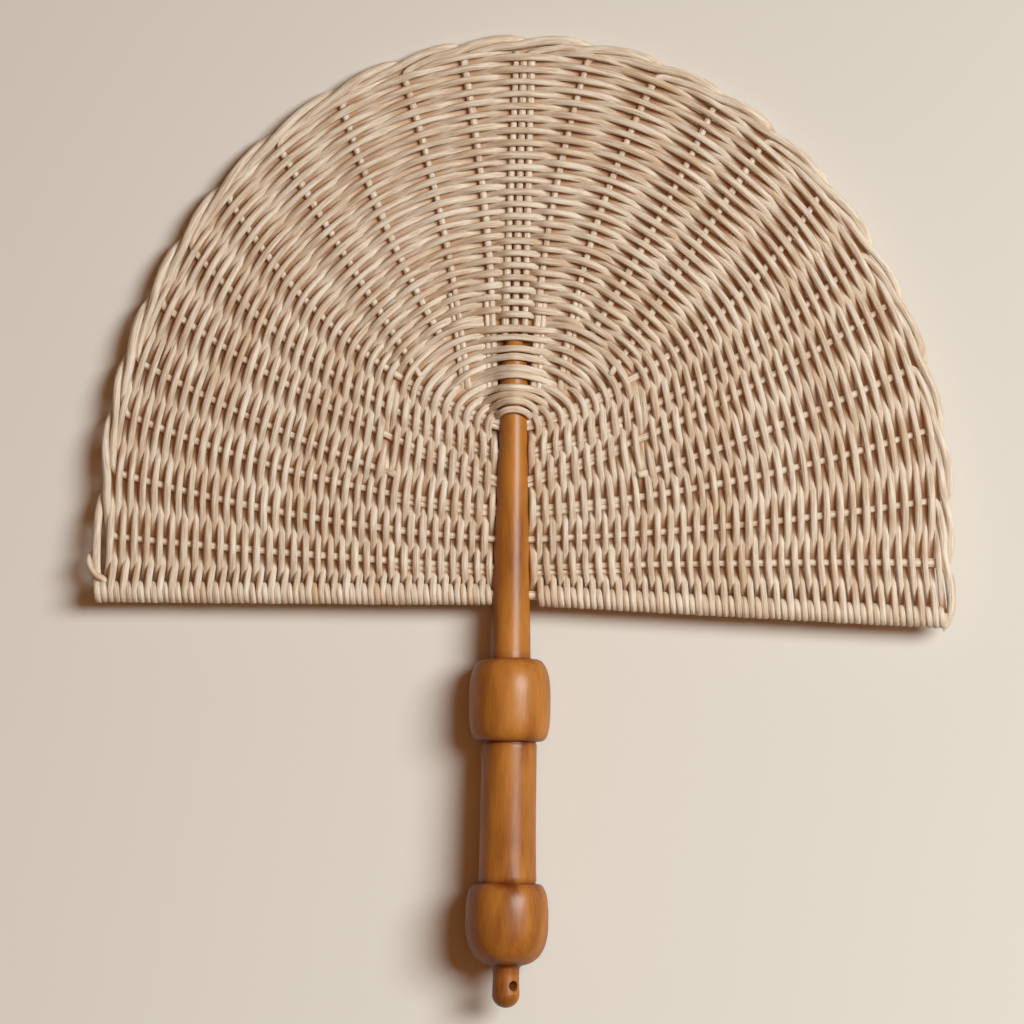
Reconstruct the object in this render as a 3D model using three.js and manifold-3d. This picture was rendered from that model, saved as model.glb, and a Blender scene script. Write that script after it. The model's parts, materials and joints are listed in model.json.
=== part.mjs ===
// A half-round hand fan woven from round reed on a turned wooden handle, lying face up on a table.
// Stakes radiate from the handle's neck, weavers run over and under them in nested arches,
// and the outer end of each stake turns clockwise to lie along the rim as the rolled border.
// Lengths are in millimetres. In the fan's own plane X runs across the blade and Y from the
// handle's foot to the top of the blade, with the handle's axis on X = 0. Z is the face's side.

import * as THREE from "three";
import { mergeVertices } from "three/addons/utils/BufferGeometryUtils.js";
import Module from "manifold-3d";

const wasm = await Module();
wasm.setup();

// Blade outline, to the outer edge of the border
const BLADE_CENTRE_X = 5;
const BLADE_HALF_WIDTH = 172;
const BLADE_RISE = 196; // from the shoulder to the top
const SHOULDER_Y = 30; // the sides are straight below this
const ROD_LEFT_Y = 2.6; // height of the edge rod at the left corner
const ROD_RIGHT_Y = -5; // the right half of the rod droops

// Reeds
const STAKE_DIAMETER = 2.3;
const ROD_DIAMETER = 3.6;
const WEAVER_WIDTH = 1.6;
const WEAVER_THICKNESS = 2;
const CLEARANCE = 0.3;
const TIP_CLEARANCE = 0.5; // between the handle's tip and the rows that arch over it

// Weave
const ROWS = 62;
const ROWS_PER_WEAVER = 4;
const FIRST_ROW_STANDOFF = 2; // from the neck's wall to the middle of the innermost row
const LAST_ROW_STANDOFF = 1; // spare room between the outermost row and the border
const HUB_ROWS = 20; // these cross the handle's tip as one bundle with the stakes beside it
const LIFT = 4; // how strongly a weaver rises where the stakes stand close together
const NECK_ROWS = 3; // these cross the top cross stake in the same bundle too
const HUB_FIRST_Y = 76.8;
const HUB_PITCH = 2.05;
const FREE_END = 0.5; // how far a stake that starts inside the weave reaches past its first row

// Stakes that run through the neck from side to side: height of the hole in the neck, the angle
// at which the reed leaves it, and where its ends reach the border, counted in even stake spaces
const ROD_HEIGHT = 2;
const CROSS_STAKES = [
  { height: 13, leaves: 2.5, left: 0.85, right: 23.16 },
  { height: 24.3, leaves: 3, left: 1.84, right: 22.19 },
  { height: 36.5, leaves: 5, left: 2.76, right: 21.1 },
  { height: 48.2, leaves: 18.5, left: 4.54, right: 19.05 },
  { height: 59.2, leaves: 16, left: 5.54, right: 18.16 },
  { height: 71, leaves: 17, left: 6.51, right: 17.03 },
];

// Stakes added on both sides as the blade widens: the point that they aim away from, the angle
// there, the first row that crosses them, and their places on the border
const LOWER_BY_STAKE = { x: 40, y: 47.3, leaves: 17.5, firstRow: 18, left: 3.59, right: 20.1 };
const UPPER_BY_STAKE = { x: 32, y: 80.5, leaves: 57, firstRow: 18, left: 7.61, right: 15.85 };
const OUTER_STAKE = { x: 17.6, y: 85.8, leaves: 57, firstRow: 18, left: 8.81, right: 14.89 };
const MIDDLE_STAKE = { x: 17.8, y: 79, leaves: 84, firstRow: 8, left: 9.86, right: 13.89 };
const INNER_STAKE = { x: 7.6, y: 93, leaves: 84, firstRow: HUB_ROWS, left: 10.82, right: 12.8 };
const STAKE_SPACES = 24; // even spaces along the border from corner to corner

// The bundle of three stakes on the blade's centre line
const CENTRE_STATION = 11.78;
const CENTRE_SPACING_LOW = 4;
const CENTRE_SPACING_TOP = 3.1;
const CENTRE_SIDE_DROP = 3; // the outer two start beside the rounded tip

// Rolled border
const TAIL_SPACES = 1.45; // how far along the border a stake's end lies, in stake spaces
const TAIL_STEP = STAKE_DIAMETER + CLEARANCE; // neighbouring ends lie side by side
const TAIL_START = -TAIL_STEP / 2; // offset from the border's middle, outwards positive
const BEND_RADIUS = 4;
const CORNER_RADIUS = 7;

// Handle, one turned piece
const TIP_END_Y = 108;
const TIP_START_Y = 87; // the round nose begins here
const NECK_TOP_Y = 74;
const NECK_TOP_RADIUS = 5.5;
const NECK_FOOT_RADIUS = 8.2;
const UPPER_BEAD = { top: -23.4, middle: -41, foot: -56.7, radius: 16.3, topEdge: 11.8, footEdge: 11.4 };
const GRIP_TOP_RADIUS = 11.1;
const GRIP_FOOT_RADIUS = 11.75;
const LOWER_BEAD = { top: -114, middle: -129, foot: -146, radius: 16.6, topEdge: 12.2, footEdge: 5.9 };
const FINIAL_WAIST_RADIUS = 5.1;
const FINIAL_RADIUS = 5.3;
const FINIAL_END_Y = -162.6;
const HANGING_HOLE_DIAMETER = 4.2;
const HANGING_HOLE_Y = -153.8;
const HANGING_HOLE_TURN = 36; // degrees about the handle's axis, away from straight up

// Facets
const HANDLE_SIDES = 24;
const ARC_STEPS = 5;
const HOLE_SIDES = 10;
const STAKE_SIDES = 5;
const SHAFT_STEPS = 5;
const TAIL_STEPS = 4;
const TURN_STEPS = 4;
const CROSSING_PRECISION = 1e-5;
const DRILL_REACH = 4; // a drill's length, in radii of the wood that it passes through
const HUB_ANGLES = [150, 120, 90, 60, 30];

const REED_COLOUR = 0xd8bf99;
const WOOD_COLOUR = 0xa8632a;

const degrees = THREE.MathUtils.degToRad;
const lerp = THREE.MathUtils.lerp;
const stakeRadius = STAKE_DIAMETER / 2;
const rodRadius = ROD_DIAMETER / 2;
const weaverHalf = WEAVER_THICKNESS / 2;

// Middle of a weaver over a stake, over the rod and over the handle's wood
const overStake = stakeRadius + CLEARANCE + weaverHalf;
const overRod = (rodRadius + CLEARANCE + weaverHalf) / Math.cos(Math.PI / TURN_STEPS / 2);
const overWood = (TIP_CLEARANCE + weaverHalf) / Math.cos(degrees(HUB_ANGLES[0] - HUB_ANGLES[1]) / 2);

// The border's middle line, from the left corner over the top to the right corner
const tailEnd = TAIL_START + TAIL_STEP * TAIL_SPACES;
const borderInset = tailEnd + stakeRadius;
const borderHalfWidth = BLADE_HALF_WIDTH - borderInset;
const borderLeftX = BLADE_CENTRE_X - borderHalfWidth;
const borderRightX = BLADE_CENTRE_X + borderHalfWidth;
const borderRise = BLADE_RISE - borderInset;
const border = new THREE.CurvePath();
border.add(
  new THREE.LineCurve(
    new THREE.Vector2(borderLeftX, ROD_LEFT_Y),
    new THREE.Vector2(borderLeftX, SHOULDER_Y),
  ),
);
border.add(
  new THREE.EllipseCurve(
    BLADE_CENTRE_X,
    SHOULDER_Y,
    borderHalfWidth,
    borderRise,
    Math.PI,
    0,
    true,
  ),
);
border.add(
  new THREE.LineCurve(
    new THREE.Vector2(borderRightX, SHOULDER_Y),
    new THREE.Vector2(borderRightX, ROD_RIGHT_Y),
  ),
);
const borderLength = border.getLength();

// A point beside the border's middle line, `station` stake spaces from the left corner
function borderPoint(station, offset) {
  const share = station / STAKE_SPACES;
  const tangent = border.getTangent(share);
  return border.getPoint(share).add(new THREE.Vector2(-tangent.y, tangent.x).multiplyScalar(offset));
}

// Radius of the handle's neck and nose
function woodRadius(y) {
  if (y >= TIP_END_Y) return 0;
  if (y > TIP_START_Y) {
    const along = (y - TIP_START_Y) / (TIP_END_Y - TIP_START_Y);
    return NECK_TOP_RADIUS * Math.sqrt(1 - along * along);
  }
  const share = Math.min(1, (y - UPPER_BEAD.top) / (NECK_TOP_Y - UPPER_BEAD.top));
  return lerp(NECK_FOOT_RADIUS, NECK_TOP_RADIUS, share);
}

// A closed reed through rings {at, out, size}: `out` points to the ring's upper side,
// `size` scales its corners, which are [sideways, upwards] pairs
function reedGeometry(rings, corners) {
  const count = corners.length;
  const positions = [];
  rings.forEach((ring, i) => {
    const before = rings[Math.max(i - 1, 0)].at;
    const after = rings[Math.min(i + 1, rings.length - 1)].at;
    const arriving = ring.at.clone().sub(before).normalize();
    const leaving = after.clone().sub(ring.at).normalize();
    const along = arriving.add(leaving).normalize();
    const side = new THREE.Vector3().crossVectors(along, ring.out).normalize();
    const up = new THREE.Vector3().crossVectors(side, along);
    for (const [sideways, upwards] of corners) {
      const corner = ring.at.clone();
      corner.addScaledVector(side, sideways * ring.size);
      corner.addScaledVector(up, upwards * ring.size);
      positions.push(corner.x, corner.y, corner.z);
    }
  });
  const index = [];
  for (let i = 0; i < rings.length - 1; i += 1) {
    for (let j = 0; j < count; j += 1) {
      const a = i * count + j;
      const b = i * count + ((j + 1) % count);
      index.push(a, a + count, b, b, a + count, b + count);
    }
  }
  const last = (rings.length - 1) * count;
  for (let j = 1; j < count - 1; j += 1) {
    index.push(0, j, j + 1);
    index.push(last, last + j + 1, last + j);
  }
  const geometry = new THREE.BufferGeometry();
  geometry.setAttribute("position", new THREE.Float32BufferAttribute(positions, 3));
  geometry.setIndex(index);
  return geometry.toNonIndexed();
}

const roundCorners = Array.from({ length: STAKE_SIDES }, (_, j) => {
  const angle = (2 * Math.PI * j) / STAKE_SIDES;
  return [stakeRadius * Math.cos(angle), stakeRadius * Math.sin(angle)];
});
const weaverCorners = [
  [WEAVER_WIDTH / 2, -weaverHalf],
  [WEAVER_WIDTH / 2, weaverHalf],
  [-WEAVER_WIDTH / 2, weaverHalf],
  [-WEAVER_WIDTH / 2, -weaverHalf],
];

const fan = new THREE.Group();
const reedMaterial = new THREE.MeshStandardMaterial({ color: REED_COLOUR, roughness: 0.6, metalness: 0 });

function addReed(name, rings, corners) {
  const mesh = new THREE.Mesh(reedGeometry(rings, corners), reedMaterial);
  mesh.name = name;
  fan.add(mesh);
}

const UP = new THREE.Vector3(0, 0, 1);
const stakeRing = (point, size = 1) => ({ at: new THREE.Vector3(point.x, point.y, 0), out: UP, size });

// Where each stake's end meets the border, in order, with both corners
const stations = [0, CENTRE_STATION, STAKE_SPACES];
const sideStakes = [LOWER_BY_STAKE, UPPER_BY_STAKE, OUTER_STAKE, MIDDLE_STAKE, INNER_STAKE];
for (const stake of [...CROSS_STAKES, ...sideStakes]) stations.push(stake.left, stake.right);
stations.sort((a, b) => a - b);

// A point on the tail of the stake at `station`, `spaces` stake spaces further along the border
function tailPoint(station, spaces) {
  const here = stations.indexOf(station);
  const whole = Math.min(Math.floor(spaces), stations.length - 2 - here);
  const from = stations[here + whole];
  const to = stations[here + whole + 1];
  return borderPoint(lerp(from, to, spaces - whole), TAIL_START + TAIL_STEP * spaces);
}

// The last stake's end stops short of the corner
function tailReach(station) {
  return Math.min(TAIL_SPACES, stations.length - 2 - stations.indexOf(station) + TAIL_SPACES / 2);
}

// The bend at the border and the tail along it
function tailRings(station, shaftEnd) {
  const corner = borderPoint(station, TAIL_START);
  const first = (BEND_RADIUS / borderLength) * STAKE_SPACES;
  const next = stations[stations.indexOf(station) + 1];
  const bent = first / (next - station);
  const landing = tailPoint(station, bent);
  const middle = new THREE.QuadraticBezierCurve(shaftEnd, corner, landing).getPoint(0.5);
  const rings = [stakeRing(middle), stakeRing(landing)];
  for (let i = 1; i <= TAIL_STEPS; i += 1) {
    rings.push(stakeRing(tailPoint(station, lerp(bent, tailReach(station), i / TAIL_STEPS))));
  }
  return rings;
}

// A stake's line in the plane, bowed from the angle at which it leaves its root
function stakeCurve(side, root, leaves, station) {
  const start = new THREE.Vector2(side * root.x, root.y);
  const end = borderPoint(station, TAIL_START);
  const reach = start.distanceTo(end) / 2;
  const bow = new THREE.Vector2(side * Math.cos(degrees(leaves)), Math.sin(degrees(leaves)));
  return new THREE.QuadraticBezierCurve(start, start.clone().addScaledVector(bow, reach), end);
}

// A stake on one side: how the rows are spaced along its curve, and where its reed runs
function makeRib(curve, station, firstRow, firstAlong, shaftFrom) {
  const length = curve.getLength();
  const lastAlong = length - stakeRadius - CLEARANCE - WEAVER_WIDTH / 2 - LAST_ROW_STANDOFF;
  const pitch = (lastAlong - firstAlong) / (ROWS - 1 - firstRow);
  const shaftTo = length - BEND_RADIUS;
  return {
    station,
    firstRow,
    height: overStake,
    along: (distance) => curve.getPointAt(distance / length),
    at: (row) => curve.getPointAt((firstAlong + (row - firstRow) * pitch) / length),
    shaft: () =>
      Array.from({ length: SHAFT_STEPS + 1 }, (_, i) =>
        curve.getPointAt(lerp(shaftFrom, shaftTo, i / SHAFT_STEPS) / length),
      ),
  };
}

// How far along a curve it crosses the straight stretch of a row between two points
function alongAtCrossing(curve, from, to) {
  const across = to.clone().sub(from);
  const facing = (share) => across.cross(curve.getPointAt(share).sub(from));
  let inner = 0;
  let outer = 1;
  while (outer - inner > CROSSING_PRECISION) {
    const half = (inner + outer) / 2;
    if (facing(half) * facing(0) > 0) inner = half;
    else outer = half;
  }
  return inner * curve.getLength();
}

// The centre stakes: the middle one turns into the border, the outer two stop below it
const centreTop = borderPoint(CENTRE_STATION, TAIL_START);
const centreStop = BEND_RADIUS / 2;
function centrePoint(place, share) {
  const low = new THREE.Vector2(place * CENTRE_SPACING_LOW, TIP_END_Y + CLEARANCE);
  const top = centreTop.clone().add(new THREE.Vector2(place * CENTRE_SPACING_TOP, 0));
  return low.lerp(top, share);
}
const lastCentreY = centreTop.y - stakeRadius - CLEARANCE - WEAVER_WIDTH / 2 - LAST_ROW_STANDOFF;
const firstCentreY = HUB_FIRST_Y + HUB_ROWS * HUB_PITCH;
function rowCentreY(row) {
  if (row < HUB_ROWS) return HUB_FIRST_Y + row * HUB_PITCH;
  return lerp(firstCentreY, lastCentreY, (row - HUB_ROWS) / (ROWS - 1 - HUB_ROWS));
}

// A row's height over the tip at `x`: a quarter of an ellipse from its last crossing to its top
function archY(foot, topY, x) {
  const share = x / foot.x;
  return lerp(foot.y, topY, Math.sqrt(1 - share * share));
}

// The edge rod's half on one side, straight from the neck to its corner
function makeRodHalf(side) {
  const start = new THREE.Vector2(side * woodRadius(ROD_HEIGHT), ROD_HEIGHT);
  const end = side < 0
    ? new THREE.Vector2(borderLeftX, ROD_LEFT_Y)
    : new THREE.Vector2(borderRightX, ROD_RIGHT_Y);
  const length = start.distanceTo(end);
  const lastAlong = length - rodRadius - CLEARANCE - WEAVER_WIDTH / 2 - LAST_ROW_STANDOFF - stakeRadius;
  const pitch = (lastAlong - FIRST_ROW_STANDOFF) / (ROWS - 1);
  return {
    firstRow: 0,
    height: overRod,
    at: (row) => start.clone().lerp(end, (FIRST_ROW_STANDOFF + row * pitch) / length),
    start,
    end,
  };
}

// Ribs of one side in the order that a row meets them, from the edge rod to the centre
function makeSide(side) {
  const key = side < 0 ? "left" : "right";
  const cross = CROSS_STAKES.map((stake) => {
    const root = { x: woodRadius(stake.height), y: stake.height };
    const curve = stakeCurve(side, root, stake.leaves, stake[key]);
    return makeRib(curve, stake[key], 0, FIRST_ROW_STANDOFF, 0);
  });
  // A stake that starts in the weave lies where its first row runs between its neighbours
  const between = (stake, from, to) => {
    const curve = stakeCurve(side, stake, stake.leaves, stake[key]);
    const firstAlong = alongAtCrossing(curve, from, to);
    return makeRib(curve, stake[key], stake.firstRow, firstAlong, firstAlong - FREE_END);
  };
  const third = cross[2];
  const fourth = cross[3];
  const top = cross.at(-1);
  const topFoot = top.at(MIDDLE_STAKE.firstRow);
  const hubX = side * (INNER_STAKE.x + overStake) * Math.cos(degrees(HUB_ANGLES.at(-1)));
  const hubEdge = new THREE.Vector2(hubX, archY(topFoot, rowCentreY(MIDDLE_STAKE.firstRow), hubX));
  const middle = between(MIDDLE_STAKE, topFoot, hubEdge);
  const besideTop = (stake) => between(stake, top.at(stake.firstRow), middle.at(stake.firstRow));
  const low = LOWER_BY_STAKE.firstRow;
  const innerCurve = stakeCurve(side, INNER_STAKE, INNER_STAKE.leaves, INNER_STAKE[key]);
  const innerAlong = firstCentreY - INNER_STAKE.y;
  return {
    rod: makeRodHalf(side),
    cross,
    lowerBy: between(LOWER_BY_STAKE, third.at(low), fourth.at(low)),
    upperBy: besideTop(UPPER_BY_STAKE),
    outer: besideTop(OUTER_STAKE),
    middle,
    inner: makeRib(innerCurve, INNER_STAKE[key], HUB_ROWS, innerAlong, 0),
  };
}
const left = makeSide(-1);
const right = makeSide(1);

function ribsInOrder(side) {
  const [low, second, third, fourth, fifth, top] = side.cross;
  return [
    side.rod, low, second, third, side.lowerBy, fourth, fifth, top,
    side.upperBy, side.outer, side.middle, side.inner,
  ];
}

// The part of a row that crosses the handle's tip, arched over the wood and the stakes beside it
function hubPlaces(row, leftFoot, rightFoot) {
  const topY = rowCentreY(row);
  const overTip = woodRadius(topY) + overWood;
  const besideStakes = topY > INNER_STAKE.y - WEAVER_WIDTH;
  const rise = besideStakes ? Math.max(overTip, 2 * overStake) : overTip;
  return HUB_ANGLES.map((angle) => {
    const [side, foot] = angle > 90 ? [left, leftFoot] : [right, rightFoot];
    const stakeX = Math.abs(side.inner.along(Math.max(0, topY - INNER_STAKE.y)).x);
    const halfSpan = besideStakes ? stakeX + overStake : overTip;
    const x = halfSpan * Math.cos(degrees(angle));
    const point = new THREE.Vector2(x, archY(foot, topY, x));
    return { point, height: rise * Math.sin(degrees(angle)), isArch: true };
  });
}

// A weaver stands higher on a stake where the next crossing on the other side is close by
function lift(place, neighbours) {
  const others = neighbours.filter((other) => other && !other.isArch && other.sign !== place.sign);
  if (place.isArch || others.length === 0) return place;
  const steepness = place.height / Math.min(...others.map((other) => other.point.distanceTo(place.point)));
  return { ...place, height: place.height * (1 + LIFT * steepness * steepness) };
}

// The places where a row crosses the stakes, from left to right, with its height and side on each
function rowPlaces(row) {
  const sign = row % 2 === 0 ? 1 : -1;
  const crossed = (side) =>
    ribsInOrder(side)
      .filter((rib) => row >= rib.firstRow)
      .map((rib) => ({ point: rib.at(row), height: rib.height }));
  const leftPlaces = crossed(left);
  const rightPlaces = crossed(right);
  let centre;
  if (row < HUB_ROWS) {
    centre = hubPlaces(row, leftPlaces.at(-1).point, rightPlaces.at(-1).point);
  } else {
    const share = (rowCentreY(row) - TIP_END_Y) / (centreTop.y - TIP_END_Y);
    centre = [-1, 1].map((place) => ({ point: centrePoint(place, share), height: overStake }));
  }
  if (row < NECK_ROWS) centre = [leftPlaces.pop(), ...centre, rightPlaces.pop()];
  const bundles = [...leftPlaces.map((p) => [p]), centre, ...rightPlaces.reverse().map((p) => [p])];
  const places = bundles.flatMap((bundle, i) =>
    bundle.map((place) => ({ ...place, sign: i % 2 === 0 ? sign : -sign })),
  );
  const last = places.length - 1;
  return places.map((place, i) =>
    i === 0 || i === last ? place : lift(place, [places[i - 1], places[i + 1]]),
  );
}

// Rings of the turn round the edge rod between two rows
function turnRings(from, to) {
  const rings = [];
  for (let i = 1; i < TURN_STEPS; i += 1) {
    const angle = Math.PI * (0.5 - i / TURN_STEPS);
    const middle = from.point.clone().lerp(to.point, i / TURN_STEPS);
    const out = new THREE.Vector3(0, -Math.cos(angle), from.sign * Math.sin(angle));
    const at = new THREE.Vector3(middle.x, middle.y, 0).addScaledVector(out, overRod);
    rings.push({ at, out, size: 1 });
  }
  return rings;
}

// A weaver goes up one row and back along the next, turning round the rod at each end
function addWeaver(number, firstRow) {
  const rings = [];
  let previous = null;
  for (let row = firstRow; row < Math.min(firstRow + ROWS_PER_WEAVER, ROWS); row += 1) {
    const places = rowPlaces(row);
    if ((row - firstRow) % 2 === 1) places.reverse();
    if (previous) rings.push(...turnRings(previous, places[0]));
    const out = UP.clone().multiplyScalar(places[0].sign);
    for (const p of places) {
      rings.push({ at: new THREE.Vector3(p.point.x, p.point.y, p.sign * p.height), out, size: 1 });
    }
    previous = places.at(-1);
  }
  addReed("weaver_" + String(number).padStart(2, "0"), rings, weaverCorners);
}

// Stakes that pass through the neck, bent into the border at both ends
CROSS_STAKES.forEach((stake, i) => {
  const halves = [left.cross[i], right.cross[i]].map((rib) => {
    const shaft = rib.shaft();
    return [...shaft.map((point) => stakeRing(point)), ...tailRings(rib.station, shaft.at(-1))];
  });
  addReed("cross_stake_" + (i + 1), [...halves[0].reverse(), ...halves[1]], roundCorners);
});

// Stakes with one end in the weave
for (const [sideName, side] of [["left", left], ["right", right]]) {
  const named = {
    lower_by_stake: side.lowerBy,
    upper_by_stake: side.upperBy,
    outer_stake: side.outer,
    middle_stake: side.middle,
    inner_stake: side.inner,
  };
  for (const [name, rib] of Object.entries(named)) {
    const shaft = rib.shaft();
    const rings = shaft.map((point) => stakeRing(point));
    addReed(sideName + "_" + name, [...rings, ...tailRings(rib.station, shaft.at(-1))], roundCorners);
  }
}

// The bundle on the centre line
const centreNames = { left_centre_stake: -1, middle_centre_stake: 0, right_centre_stake: 1 };
for (const [name, place] of Object.entries(centreNames)) {
  const low = centrePoint(place, 0);
  if (place !== 0) low.y -= CENTRE_SIDE_DROP;
  const high = centrePoint(place, 1);
  high.y -= place === 0 ? BEND_RADIUS : centreStop;
  const rings = [stakeRing(low), stakeRing(high)];
  if (place === 0) rings.push(...tailRings(CENTRE_STATION, high));
  addReed(name, rings, roundCorners);
}

// The edge rod, thinned at its left end where it turns up into the border
const rodSize = rodRadius / stakeRadius;
const rodTurn = new THREE.Vector2(borderLeftX + CORNER_RADIUS, left.rod.end.y);
const cornerSpaces = (CORNER_RADIUS / borderLength) * STAKE_SPACES;
const cornerShare = cornerSpaces / (stations[1] - stations[0]);
const cornerEnd = tailPoint(0, cornerShare);
const cornerMiddle = new THREE.QuadraticBezierCurve(
  rodTurn,
  borderPoint(0, TAIL_START),
  cornerEnd,
).getPoint(0.5);
const rodRings = [];
for (let i = TAIL_STEPS; i > 0; i -= 1) {
  rodRings.push(stakeRing(tailPoint(0, lerp(cornerShare, TAIL_SPACES, i / TAIL_STEPS))));
}
rodRings.push(stakeRing(cornerEnd), stakeRing(cornerMiddle));
const rodRight = right.rod.end.clone().sub(new THREE.Vector2(stakeRadius - TAIL_START, 0));
for (const point of [rodTurn, left.rod.start, right.rod.start, rodRight]) {
  rodRings.push(stakeRing(point, rodSize));
}
addReed("edge_rod", rodRings, roundCorners);

for (let row = 0; row < ROWS; row += ROWS_PER_WEAVER) addWeaver(row / ROWS_PER_WEAVER + 1, row);

// A closed mesh as a solid that can be cut
function toSolid(geometry) {
  const bare = geometry.clone();
  bare.deleteAttribute("normal");
  bare.deleteAttribute("uv");
  const merged = mergeVertices(bare);
  const vertProperties = merged.attributes.position.array;
  const triVerts = new Uint32Array(merged.index.array);
  return new wasm.Manifold(new wasm.Mesh({ numProp: 3, vertProperties, triVerts }));
}

function toGeometry(solid) {
  const mesh = solid.getMesh();
  const geometry = new THREE.BufferGeometry();
  geometry.setAttribute("position", new THREE.BufferAttribute(mesh.vertProperties, 3));
  geometry.setIndex(new THREE.BufferAttribute(mesh.triVerts, 1));
  return geometry;
}

// A quarter of an ellipse in the handle's profile, between two radii and two heights
function quarter(fromRadius, fromY, toRadius, toY, bulgesAtStart) {
  return Array.from({ length: ARC_STEPS + 1 }, (_, i) => {
    const angle = (Math.PI / 2) * (i / ARC_STEPS);
    const rounding = bulgesAtStart ? 1 - Math.cos(angle) : Math.sin(angle);
    const rising = bulgesAtStart ? Math.sin(angle) : 1 - Math.cos(angle);
    return new THREE.Vector2(lerp(fromRadius, toRadius, rounding), lerp(fromY, toY, rising));
  });
}

function beadProfile(bead) {
  return [
    ...quarter(bead.footEdge, bead.foot, bead.radius, bead.middle, false),
    ...quarter(bead.radius, bead.middle, bead.topEdge, bead.top, true).slice(1),
  ];
}

function hole(diameter, length) {
  return new THREE.CylinderGeometry(diameter / 2, diameter / 2, length, HOLE_SIDES);
}

function addHandle() {
  const profile = [
    ...quarter(0, FINIAL_END_Y, FINIAL_RADIUS, FINIAL_END_Y + FINIAL_RADIUS, false),
    new THREE.Vector2(FINIAL_WAIST_RADIUS, lerp(FINIAL_END_Y + FINIAL_RADIUS, LOWER_BEAD.foot, 0.5)),
    ...beadProfile(LOWER_BEAD),
    new THREE.Vector2(GRIP_FOOT_RADIUS, LOWER_BEAD.top),
    new THREE.Vector2(GRIP_TOP_RADIUS, UPPER_BEAD.foot),
    ...beadProfile(UPPER_BEAD),
    new THREE.Vector2(NECK_FOOT_RADIUS, UPPER_BEAD.top),
    new THREE.Vector2(NECK_TOP_RADIUS, NECK_TOP_Y),
    ...quarter(NECK_TOP_RADIUS, TIP_START_Y, 0, TIP_END_Y, true),
  ];
  let solid = toSolid(new THREE.LatheGeometry(profile, HANDLE_SIDES));
  const drilled = [{ height: ROD_HEIGHT, diameter: ROD_DIAMETER }];
  for (const { height } of CROSS_STAKES) drilled.push({ height, diameter: STAKE_DIAMETER });
  for (const { height, diameter } of drilled) {
    const cutter = hole(diameter + 2 * CLEARANCE, DRILL_REACH * woodRadius(height));
    cutter.rotateZ(Math.PI / 2).translate(0, height, 0);
    solid = solid.subtract(toSolid(cutter));
  }
  const hanging = hole(HANGING_HOLE_DIAMETER, DRILL_REACH * FINIAL_RADIUS);
  hanging.rotateX(Math.PI / 2).rotateY(degrees(HANGING_HOLE_TURN)).translate(0, HANGING_HOLE_Y, 0);
  solid = solid.subtract(toSolid(hanging));
  const material = new THREE.MeshStandardMaterial({ color: WOOD_COLOUR, roughness: 0.3, metalness: 0 });
  const mesh = new THREE.Mesh(toGeometry(solid), material);
  mesh.name = "handle";
  fan.add(mesh);
}
addHandle();

// The fan rests on its upper bead and on the weave's outermost row at the top of the blade
const weaveHalf = overStake + weaverHalf;
fan.rotation.x = -Math.asin((UPPER_BEAD.radius - weaveHalf) / (lastCentreY - UPPER_BEAD.middle));

// The origin is under the middle of the whole fan, on the table
const bounds = new THREE.Box3().setFromObject(fan, true);
const middle = bounds.getCenter(new THREE.Vector3());
fan.position.set(-middle.x, -middle.y, -bounds.min.z);

const part = new THREE.Group();
part.add(fan);
export default part;
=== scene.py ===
"""A half-round hand fan woven from round reed on a turned, lacquered handle, lying face up.

The fan is worked out in its own plane: X across the blade, Y from the handle's foot to the top of
the blade with the handle's axis on X = 0, and Z out of the face. `place` then lays it on the table.
Lengths are in metres.
"""

import json

import bpy
import numpy as np
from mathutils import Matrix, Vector


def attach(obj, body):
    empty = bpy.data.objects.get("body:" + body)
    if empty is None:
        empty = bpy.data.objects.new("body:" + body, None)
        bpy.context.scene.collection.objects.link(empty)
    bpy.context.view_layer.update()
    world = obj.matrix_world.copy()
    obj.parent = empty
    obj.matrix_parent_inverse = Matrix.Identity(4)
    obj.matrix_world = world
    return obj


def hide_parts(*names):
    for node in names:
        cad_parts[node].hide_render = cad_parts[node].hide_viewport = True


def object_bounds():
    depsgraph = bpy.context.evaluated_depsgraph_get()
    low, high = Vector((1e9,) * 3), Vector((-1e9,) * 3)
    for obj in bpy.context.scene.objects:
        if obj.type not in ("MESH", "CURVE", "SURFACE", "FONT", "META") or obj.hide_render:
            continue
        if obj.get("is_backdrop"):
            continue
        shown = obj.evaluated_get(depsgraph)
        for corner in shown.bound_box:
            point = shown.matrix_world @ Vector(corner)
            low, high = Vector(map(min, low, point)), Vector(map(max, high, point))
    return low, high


bl_info = {
    "name": "Woven reed fan",
    "version": (1, 0, 0),
    "blender": (4, 5, 0),
    "location": "View3D > Sidebar > Reed fan",
    "description": "Weaves a half-round reed fan on a turned handle",
    "category": "Add Mesh",
}

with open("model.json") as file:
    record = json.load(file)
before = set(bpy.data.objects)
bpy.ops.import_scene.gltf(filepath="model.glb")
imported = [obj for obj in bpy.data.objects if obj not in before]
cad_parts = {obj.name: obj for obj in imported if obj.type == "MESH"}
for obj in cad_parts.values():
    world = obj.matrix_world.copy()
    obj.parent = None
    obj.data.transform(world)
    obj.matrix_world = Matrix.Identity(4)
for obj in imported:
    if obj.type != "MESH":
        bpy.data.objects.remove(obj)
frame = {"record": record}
CAD_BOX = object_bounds()
MOUNTS = {mount["name"]: mount for mount in frame["record"]["mounts"]}
BODY = "root"

MM = 0.001
DEGREE = np.pi / 180
UP = np.array([0.0, 0.0, 1.0])

# Blade outline, to the outer edge of the border
BLADE_CENTRE_X = 5 * MM
BLADE_HALF_WIDTH = 172 * MM
BLADE_RISE = 197 * MM
SHOULDER_Y = 30 * MM
ROD_HEIGHT = 2 * MM
ROD_LEFT_Y = 1.2 * MM
ROD_RIGHT_Y = -5 * MM

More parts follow.
